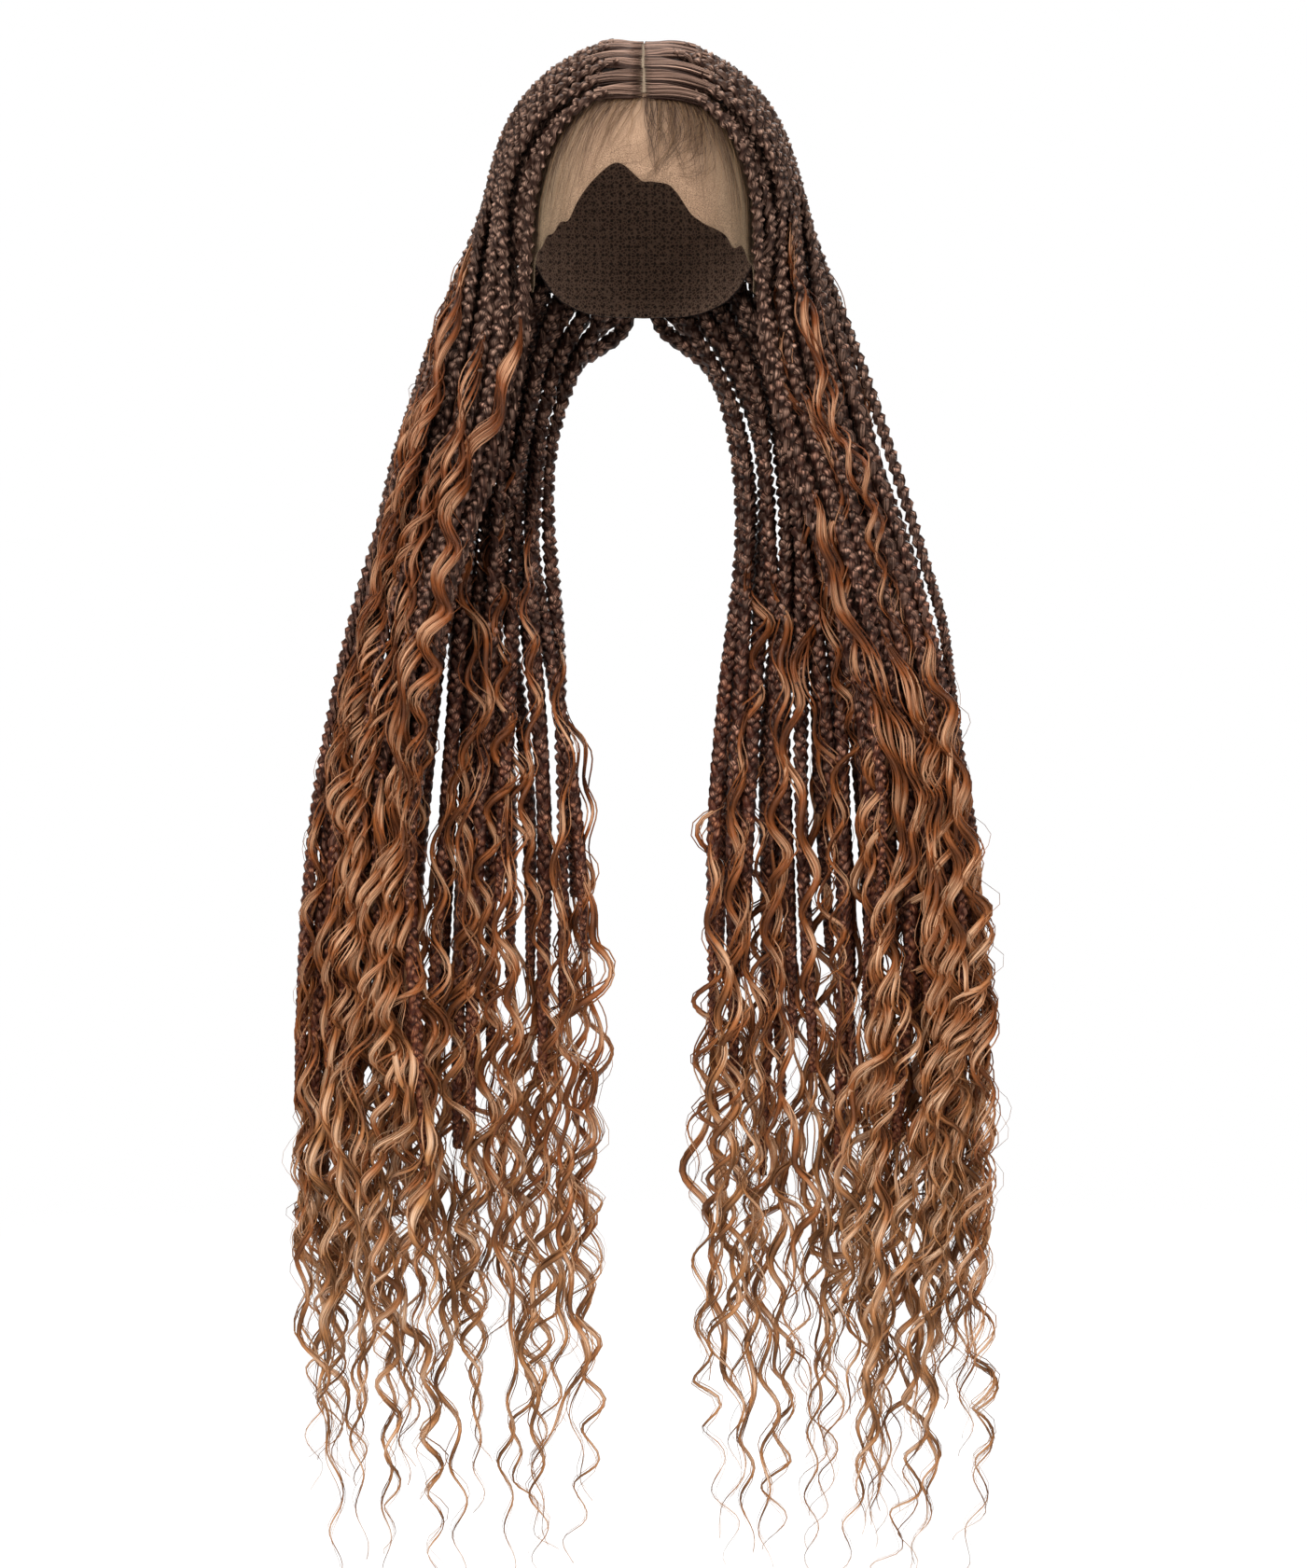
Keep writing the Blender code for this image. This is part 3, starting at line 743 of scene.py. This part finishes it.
plait_tree = swept_tree(
    "plait",
    {
        "Strands": 3,
        "Sides": 4,
        "Side Reach": 0.47,
        "Depth Reach": 0.36,
        "Strand Size": 0.56,
        "Flatness": 0.66,
    },
    plait_offset,
    lambda graph, given: graph.stored("half_width")
    * given["Strand Size"]
    * (graph.stored("strand_crest") * 0.2 + 0.9),
)
curl_tree = swept_tree(
    "curl",
    {
        "Strands": 2,
        "Sides": 3,
        "Out Of Step": 0.45,
        "Depth Share": 0.6,
        "Drift": 24.0,
        "Strand Size": 1.0,
        "Flatness": 0.8,
    },
    curl_offset,
    lambda graph, given: graph.stored("size") * given["Strand Size"],
)
root_tree = swept_tree(
    "root",
    {
        "Strands": 12,
        "Sides": 3,
        "Flatness": 0.7,
    },
    root_offset,
    lambda graph, given: graph.stored("size"),
)
print("trees", plait_tree.name, curl_tree.name, root_tree.name)

# %% [markdown]
# ## From routes to meshes
# The trees read a bare mesh of joined points whose attributes say how wide, how turned and how far along
# each point is. The evaluated result becomes a plain mesh, so nothing live is left on the piece.

# %% Sweep routes into a piece
SPARE_LAYERS = "outward phase half_width tone turn along strand reach size spread rise".split()


def route_mesh(name, paths):
    """A mesh of open lines, one for each path, with the paths' values as attributes."""
    mesh = bpy.data.meshes.new(name)
    points = np.vstack([path["points"] for path in paths])
    ends = np.cumsum([len(path["points"]) for path in paths])
    joined = np.arange(len(points) - 1)
    joined = joined[~np.isin(joined + 1, ends)]
    mesh.from_pydata(points.tolist(), np.column_stack((joined, joined + 1)).tolist(), [])
    for key in paths[0]:
        if key == "points":
            continue
        shape = np.shape(paths[0][key])[1:]
        values = [np.broadcast_to(path[key], (len(path["points"]), *shape)) for path in paths]
        values = np.concatenate(values)
        kind = "FLOAT_VECTOR" if values.ndim == 2 else "FLOAT"
        layer = mesh.attributes.new(key, kind, "POINT")
        layer.data.foreach_set("vector" if values.ndim == 2 else "value", values.astype(np.float32).ravel())
    return mesh


def sweep(name, paths, tree, finish, settings):
    """Run a tree on paths and keep the result as a plain mesh piece."""
    source = bpy.data.objects.new(name + "_routes", route_mesh(name + "_routes", paths))
    show(source)
    modifier = source.modifiers.new("sweep", "NODES")
    modifier.node_group = tree
    sockets = [item for item in tree.interface.items_tree if item.item_type == "SOCKET"]
    named = {item.name: item.identifier for item in sockets if item.in_out == "INPUT"}
    for title, value in settings.items():
        modifier[named[title]] = value
    modifier[named["Material"]] = finish
    evaluated = source.evaluated_get(bpy.context.evaluated_depsgraph_get())
    mesh = bpy.data.meshes.new_from_object(evaluated)
    mesh.name = name
    piece = bpy.data.objects.new(name, mesh)
    show(piece)
    bpy.data.objects.remove(source)
    for spare in [layer.name for layer in mesh.attributes if layer.name in SPARE_LAYERS]:
        mesh.attributes.remove(mesh.attributes[spare])
    return piece


def triangles(piece):
    """How many triangles a piece has."""
    return sum(len(face.vertices) - 2 for face in piece.data.polygons)


# %% Plait every braid
ROOT_SHORTEST, ROOT_LONGEST = 0.014, 0.036
ROOT_OVERLAP = 0.004
PLAIT_TIP_RADIUS = 0.0030
PLAIT_TIP_LENGTH = 0.10
PLAIT_SHORTEST, PLAIT_LONGEST = 0.47, 0.70


def turned_outward(points, outward, twist):
    """The outward way made square to the path and turned round it by a twist."""
    way = np.gradient(points, axis=0)
    way /= np.linalg.norm(way, axis=1)[:, None]
    flat = outward - way * (outward * way).sum(1)[:, None]
    flat /= np.linalg.norm(flat, axis=1)[:, None]
    side = np.cross(way, flat)
    return flat * np.cos(twist)[:, None] + side * np.sin(twist)[:, None]


def read_ways(at, run, outward):
    """The outward ways at places along a path."""
    return np.column_stack([np.interp(at, run, outward[:, axis]) for axis in range(3)])


def path_length(points):
    """How far along a path each of its points is."""
    return np.concatenate(([0], np.cumsum(np.linalg.norm(np.diff(points, axis=0), axis=1))))


def level_run(route, run, level):
    """How far along a hanging route a level is reached."""
    top = np.argmax(route[:, 2])
    return float(np.interp(-level, -route[top:, 2], run[top:]))


def plait_path(route, outward, start, end_level, rings_a_cycle, chance):
    """One plait's rings: places, outward ways, half widths and how far the plait has turned."""
    run = path_length(route)
    half = np.minimum(plait_radius(route), ROOT_RADIUS + (BRAID_RADIUS - ROOT_RADIUS) * run / 0.03)
    stop = level_run(route, run, end_level)
    thin = np.clip((run - (stop - PLAIT_TIP_LENGTH)) / PLAIT_TIP_LENGTH, 0, 1)
    half = half * (1 - thin) + PLAIT_TIP_RADIUS * thin
    cycle = CYCLE_PER_WIDTH * 2 * half
    rings = np.concatenate(([0], np.cumsum(np.diff(run) / (cycle[1:] + cycle[:-1]) * 2))) * rings_a_cycle
    wanted = np.arange(np.interp(start, run, rings), np.interp(stop, run, rings), 1.0)
    at = np.interp(wanted, rings, run)
    points = smooth_curve(run, route, at)
    knots = np.linspace(0, run[-1], 8)
    loose = np.clip((at - 0.15) / 0.2, 0.1, 1)
    twist = smooth_curve(knots, chance.normal(0, 0.45, 8), at) * loose
    facing = read_ways(at, run, outward)
    return {
        "points": points,
        "outward": turned_outward(points, facing, twist),
        "half_width": np.interp(at, run, half),
        "phase": wanted * math.tau / rings_a_cycle,
        "along": at,
        "tone": np.array((chance.random(),)),
    }


def braid(side, number):
    """A braid's route and its outward way on its own side, from where it begins."""
    _, routes, outward, first = laid[side]
    mirror = np.array((SIDES[side], 1, 1))
    begin = first[number]
    return routes[number, begin:] * mirror, outward[number, begin:] * mirror


ends, starts = {}, {}
plaits = []
for side in SIDES:
    keys = laid[side][0]
    chance = np.random.default_rng(31 if side == "left" else 47)
    ends[side] = -(PLAIT_SHORTEST + (PLAIT_LONGEST - PLAIT_SHORTEST) * chance.beta(1.6, 1.3, len(keys)))
    starts[side] = chance.uniform(ROOT_SHORTEST, ROOT_LONGEST, len(keys))
    for tier in TIERS:
        paths = []
        for number in [number for number, key in enumerate(keys) if key[0] == tier]:
            route, out = braid(side, number)
            start = starts[side][number] - ROOT_OVERLAP if tier == "upper" else 0
            paths.append(plait_path(route, out, start, ends[side][number], RINGS_PER_CYCLE[tier], chance))
        piece = sweep(f"plaits_{side}_{tier}", paths, plait_tree, braid_hair, {})
        plaits.append((piece, side, tier))
        print(piece.name, len(paths), "plaits", triangles(piece), "triangles")

# %% [markdown]
# ## Roots
# Before a bundle of hair is plaited it lies flat: it starts as wide as its own section of the parting and
# is drawn together over a few centimetres. Twelve flat strands side by side show that combing.

# %% Comb the roots flat
ROOT_RINGS = 9
ROOT_EDGE_NEAR, ROOT_EDGE_FAR = 0.0002, 0.0013
SECTION_WIDTH = 0.0132
ROOT_STRAND = 0.00095
ROOT_LAYER = 0.0018
ROOT_BULGE = 0.0014


def root_path(route, outward, stop, way, chance):
    """One root's rings, from the edge of the parting to where its plait starts."""
    run = path_length(route)
    share = np.linspace(0, 1, ROOT_RINGS)
    at = stop * share
    points = smooth_curve(run, route, at)
    points[0, 0] = way * chance.uniform(ROOT_EDGE_NEAR, ROOT_EDGE_FAR)
    facing = read_ways(at, run, outward)
    out = off_head(points)[0]
    low = CAP_WALL + ROOT_LAYER
    points -= facing * ((out - low) * (1 - share**1.5))[:, None]
    half = np.interp(stop, run, np.minimum(plait_radius(route), ROOT_RADIUS + run * 0.06))
    drawn = share**1.3
    return {
        "points": points,
        "outward": turned_outward(points, facing, np.zeros(len(share))),
        "reach": SECTION_WIDTH / 2 * (1 - drawn) + half * 0.75 * drawn,
        "spread": np.full(len(share), 0.0002),
        "rise": ROOT_BULGE * np.sin(math.pi * share) + half * 0.7 * drawn,
        "size": ROOT_STRAND * (1 - 0.25 * drawn) * np.clip(0.3 + share * 8, 0, 1),
        "along": at,
        "tone": np.array((chance.random(),)),
    }


roots = []
for side, way in SIDES.items():
    chance = np.random.default_rng(5 if side == "left" else 6)
    paths = []
    for number in range(LANES):
        route, out = braid(side, number)
        paths.append(root_path(route, out, starts[side][number] + ROOT_OVERLAP, way, chance))
    roots.append(sweep(f"roots_{side}", paths, root_tree, braid_hair, {}))
    print(roots[-1].name, len(paths), "roots", triangles(roots[-1]), "triangles")

# %% [markdown]
# ## Curls
# Every plait is left open at its end, and crimped locks are also let out of many plaits higher up. A lock
# is one flat ribbon with three wisps round it that share its wave, a little out of step, so it frays
# towards its tip. Every second lock has a stray hair too. Each lock follows its braid's route down.

# %% Let the curls out of the plaits
FIRST_INNER_LANE, INNER_STEP = 9, 4
BEHIND_SHARE = 0.15
BUNDLE_STEP = 0.0042
WAVE_LONG, WAVE_SHORT = 0.052, 0.038
WAVE_REACH = 0.0068
# Waves are gentler high up: drops in metres, and the share of the full reach there
WAVE_DROPS, WAVE_DEPTHS = (0.20, 0.60), (0.60, 1.0)
EDGE_ROOM, EDGE_HOLD = 0.006, 0.8
FRONT_EDGE = -0.131
# Lanes from the face to the nape, and the drop in metres where their highest loose locks start
HIGHEST_LOCKS = ((0, 2, 9, 12, 19), (0.14, 0.06, 0.06, 0.22, 0.28))
LOWEST_LOCK = 0.52
SHORTEST_TIP, LONGEST_TIP = 0.76, 1.0
# The curtain's outer edge: how far from the middle the hair reaches at each drop, in metres
EDGE_DROPS = np.array((7, 14, 21, 27, 31, 36, 40, 45, 48, 56, 60, 68, 77, 82, 88, 95)) / 100
EDGE_REACH = (104, 122, 137, 149, 160, 175, 184, 194, 199, 208, 209, 210, 212, 212, 210, 204)
EDGE_REACH = np.array(EDGE_REACH) / 1000

# What a curl is made of: a name, every how many locks, then spacing, radius, spread and swing, and the
# settings of the tree
CURL_SORTS = (
    ("locks", 1, (0.0040, 0.0020, 0.0, 1.0), {"Strands": 1, "Sides": 4, "Flatness": 0.5}),
    ("wisps", 1, (0.0054, 0.00062, 0.0034, 1.05), {"Strands": 3}),
    ("stray_hairs", 2, (0.0060, 0.00022, 0.009, 1.3), {"Strands": 1, "Out Of Step": 1.4}),
)

Lock = namedtuple("Lock", "route outward start tip offset seed")


def lock_path(lock, spacing, radius, spread, swing):
    """One lock's rings along a braid's route, from where it leaves the plait to its tip."""
    chance = np.random.default_rng(lock.seed)
    run = path_length(lock.route)
    top, stop = (level_run(lock.route, run, level) for level in (lock.start, lock.tip))
    at = np.arange(top, stop, spacing)
    gone = at - top
    share = gone / (stop - top)
    knots = np.linspace(0, stop - top, 7)
    points = smooth_curve(run, lock.route, at)
    facing = read_ways(at, run, lock.outward)
    out = np.clip(gone / 0.07, 0, 1)
    drifts = [smooth_curve(knots, chance.normal(0, reach, 7), gone) for reach in (0.007, 0.005)]
    wander = np.column_stack(drifts)
    points[:, :2] += (wander + np.array(lock.offset)) * (out * out * (3 - 2 * out))[:, None]
    limit = np.interp(-points[:, 2], EDGE_DROPS, EDGE_REACH) - EDGE_ROOM
    beyond = np.abs(points[:, 0]) - limit
    points[:, 0] -= np.sign(points[:, 0]) * np.where(beyond > 0, beyond, 0) * EDGE_HOLD
    points[:, 1] += np.clip(FRONT_EDGE - points[:, 1], 0, None) * EDGE_HOLD
    wave = (WAVE_LONG + (WAVE_SHORT - WAVE_LONG) * share) * chance.uniform(0.85, 1.15)
    phase = np.cumsum(math.tau * spacing / wave) + chance.uniform(0, math.tau)
    swell = 1 + 0.25 * smooth_curve(knots, chance.normal(0, 1, 7), gone)
    deep = np.interp(-points[:, 2], WAVE_DROPS, WAVE_DEPTHS)
    reach = WAVE_REACH * chance.uniform(0.6, 1.2) * out * swell * deep * (1 - 0.25 * share)
    twist = smooth_curve(knots, chance.normal(0, 0.7, 7), gone)
    body = np.clip(gone / 0.05, 0.2, 1) * np.clip((1 - share) / 0.75, 0, 1) ** 0.6
    thin = np.clip(gone / 0.04, 0.4, 1) * np.clip((1 - share) / 0.4, 0.1, 1)
    size = radius * chance.uniform(0.65, 1.25) * thin
    return {
        "points": points,
        "outward": turned_outward(points, facing, twist),
        "phase": phase,
        "reach": reach * swing,
        "spread": spread * chance.uniform(0.6, 1.3) * body,
        "size": size,
        "along": at,
        "tone": np.array((chance.random(),)),
    }


def side_locks(side):
    """All locks of one side: those at the plaits' ends, and those let out higher up."""
    chance = np.random.default_rng(59 if side == "left" else 83)
    locks = []
    for number in range(LANES * len(TIERS)):
        route, out = braid(side, number)
        for start in (ends[side][number] + 0.012, ends[side][number] + chance.uniform(0.03, 0.16)):
            tip = -WIG_LENGTH * chance.uniform(SHORTEST_TIP, LONGEST_TIP)
            locks.append(Lock(route, out, start, tip, chance.normal(0, 0.006, 2), chance.integers(1 << 30)))
    for lane in (*range(LANES), *range(FIRST_INNER_LANE), *range(FIRST_INNER_LANE, LANES, INNER_STEP)):
        number = lane if lane < FIRST_INNER_LANE else lane + LANES
        route, out = braid(side, number)
        highest = np.interp(lane, *HIGHEST_LOCKS)
        start = -(highest + (LOWEST_LOCK - highest) * chance.beta(1.0, 1.3))
        long = chance.uniform(0.28, 0.46)
        tip = max(start - long, -WIG_LENGTH * chance.uniform(SHORTEST_TIP, LONGEST_TIP))
        spot = np.argmin(abs(route[:, 2] - (start - 0.12)))
        offset = out[spot, :2] * chance.uniform(0.006, 0.011) + chance.normal(0, 0.003, 2)
        offset[1] = -abs(offset[1]) - 0.002
        if chance.random() < BEHIND_SHARE:
            offset[1] *= -1
        beside = np.array((-out[spot, 1], out[spot, 0])) * BUNDLE_STEP
        seed = chance.integers(1 << 30)
        locks.append(Lock(route, out, start, tip, offset, seed))
        if lane < FIRST_INNER_LANE:
            start -= chance.uniform(0, 0.02)
            locks.append(Lock(route, out, start, tip + 0.02, offset + beside, seed))
    return locks


curls = []
for side in SIDES:
    locks = side_locks(side)
    for sort, step, measures, settings in CURL_SORTS:
        paths = [lock_path(lock, *measures) for lock in locks[::step]]
        curls.append(sweep(f"{sort}_{side}", paths, curl_tree, curl_hair, settings))
    print(side, len(locks), "locks", [triangles(piece) for piece in curls[-3:]], "triangles")

# %% [markdown]
# ## Lace and baby hair
# The lace is a fine net that follows the forehead from the hairline to an edge trimmed by hand. Short soft
# hairs are tied along the hairline and combed down over it: outwards at the temples, to a point near the
# middle, and into a small hook beside it.

# %% Cut the lace
# Angles round the head, and how far down the hairline and the lace's edge lie there, in degrees
EDGE_TURNS = (0, 14, 24, 33, 44, 54, 63, 69, 76, 84, 89)
HAIRLINE = (47.5, 46, 44.5, 44.5, 46.5, 51, 60, 76, 90, 103, 103)
LACE_EDGE = (73, 70, 76, 84, 92, 97, 101, 107, 112, 110, 103)
LACE_SPAN = math.radians(81.8)
LACE_COLUMNS, LACE_ROWS = 150, 12
LACE_LOW, LACE_HIGH = 0.0002, 0.0009
LACE_SLIT = 0.0017 / 0.095
LACE_TOP = -0.03
# Where the trimmed edge hangs lower: the angle round the head, the width and how much
LACE_DIPS = ((0, 19, 0.16), (17, 12, 0.34), (30, 13, 0.16), (48, 5, 0.04), (60, 5, 0.05))


def edge_angle(azimuth, drops):
    """How far down an edge lies at an angle round the head, in radians."""
    return np.radians(smooth_curve(EDGE_TURNS, drops, np.abs(np.degrees(azimuth))))


def lace_place(azimuth, share, lift):
    """Places on the forehead by angle round the head and share of the way down the lace."""
    top = edge_angle(azimuth, HAIRLINE) + LACE_SLIT
    drop = top + (edge_angle(azimuth, LACE_EDGE) - top) * share
    return on_head(head_direction(azimuth, drop), np.broadcast_to(lift, len(azimuth)))


def add_lace(name, finish):
    """A thin closed sheet with a wavy lower edge."""
    chance = np.random.default_rng(3)
    turns = np.linspace(-LACE_SPAN, LACE_SPAN, LACE_COLUMNS)
    knots = np.linspace(-LACE_SPAN, LACE_SPAN, 34)
    trim = 1.0 + smooth_curve(knots, chance.normal(0, 0.016, 34), turns)
    for middle, width, dip in LACE_DIPS:
        trim += dip * np.exp(-(((turns - math.radians(middle)) / math.radians(width)) ** 2))
    rows = np.linspace(LACE_TOP, 1, LACE_ROWS)
    layers = []
    for lift in (LACE_LOW, LACE_HIGH):
        layers.append(np.vstack([lace_place(turns, row * trim, lift) for row in rows]))
    size = LACE_COLUMNS * LACE_ROWS
    grid = np.arange(size).reshape(LACE_ROWS, LACE_COLUMNS)
    faces = []
    for row in range(LACE_ROWS - 1):
        for column in range(LACE_COLUMNS - 1):
            quad = grid[[row, row + 1, row + 1, row], [column, column, column + 1, column + 1]]
            faces.append([int(corner) + size for corner in quad])
            faces.append([int(corner) for corner in reversed(quad)])
    rim = list(grid[0]) + list(grid[1:, -1]) + list(grid[-1, -2::-1]) + list(grid[-2:0:-1, 0])
    for here, there in zip(rim, rim[1:] + rim[:1]):
        faces.append([int(here), int(here) + size, int(there) + size, int(there)])
    mesh = bpy.data.meshes.new(name)
    mesh.from_pydata(np.vstack(layers).tolist(), [], faces)
    layer = mesh.attributes.new("lace_map", "FLOAT_VECTOR", "POINT")
    one = np.array([(turn, row, 0) for row in rows for turn in turns])
    layer.data.foreach_set("vector", np.vstack((one, one)).astype(np.float32).ravel())
    mesh.materials.append(finish)
    mesh.shade_smooth()
    piece = bpy.data.objects.new(name, mesh)
    show(piece)
    return piece


lace = add_lace("lace_sheet", lace_net)
area = sum(face.area for face in lace.data.polygons) / 2
print(lace.name, triangles(lace), "triangles, area", round(area, 5))

# %% Comb the baby hair over the lace
BABY_RINGS = 12
BABY_RADIUS = 0.00023
BABY_LIFT = 0.0013

# Each comb says how many hairs, where they start and end round the head in degrees, the hook at their
# ends, and how far down the lace they reach
Comb = namedtuple("Comb", "hairs start_low start_high end_low end_high hook short long")
COMBS = (
    Comb(115, -1, -62, -14, -76, 0, 0.45, 1.06),
    Comb(18, 0, 10, 6, 8, 0, 0.75, 1.22),
    Comb(24, 8, 22, 6, 12, 6, 0.65, 1.22),
    Comb(18, 12, 34, 18, 36, -34, 0.90, 1.34),
    Comb(60, 14, 38, 24, 44, -20, 0.60, 1.22),
    Comb(70, 32, 62, 42, 74, -4, 0.40, 1.04),
)


def baby_hairs():
    """Fine hairs combed over the lace, as paths for the curl tree."""
    chance = np.random.default_rng(17)
    share = np.linspace(0, 1, BABY_RINGS)
    paths = []
    for comb in COMBS:
        for _ in range(comb.hairs):
            pick = chance.random()
            start = comb.start_low + (comb.start_high - comb.start_low) * pick
            end = comb.end_low + (comb.end_high - comb.end_low) * pick + chance.normal(0, 2.5)
            turn = start + (end - start) * share + comb.hook * share**3 * chance.uniform(0.3, 1.2)
            turn += smooth_curve((0, 0.25, 0.5, 0.75, 1), chance.normal(0, 1.5, 5) * (0, 1, 1, 1, 1), share)
            down = -0.06 + (chance.uniform(comb.short, comb.long) + 0.06) * share
            lift = BABY_LIFT + chance.uniform(0, 0.0008) + 0.0012 * np.sin(share * math.pi)
            points = lace_place(np.radians(turn), down, lift)
            paths.append(
                {
                    "points": points,
                    "outward": off_head(points)[1],
                    "phase": share * 0,
                    "reach": share * 0,
                    "spread": share * 0,
                    "size": BABY_RADIUS * chance.uniform(0.6, 1.1) * (1 - 0.7 * share**2),
                    "along": path_length(points),
                    "tone": np.array((chance.random(),)),
                }
            )
    return paths


baby = sweep("baby_hair", baby_hairs(), curl_tree, baby_finish, {"Strands": 1})
print(baby.name, triangles(baby), "triangles")

# %% Hand the pieces to the frame
for piece, side, tier in plaits:
    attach(piece, "root")
    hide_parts(*[f"braid_{side}_{tier}_{number:02d}" for number in range(1, 13)])
for piece in (*roots, *curls, baby):
    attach(piece, "root")
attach(lace, "root")
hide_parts("lace_front")
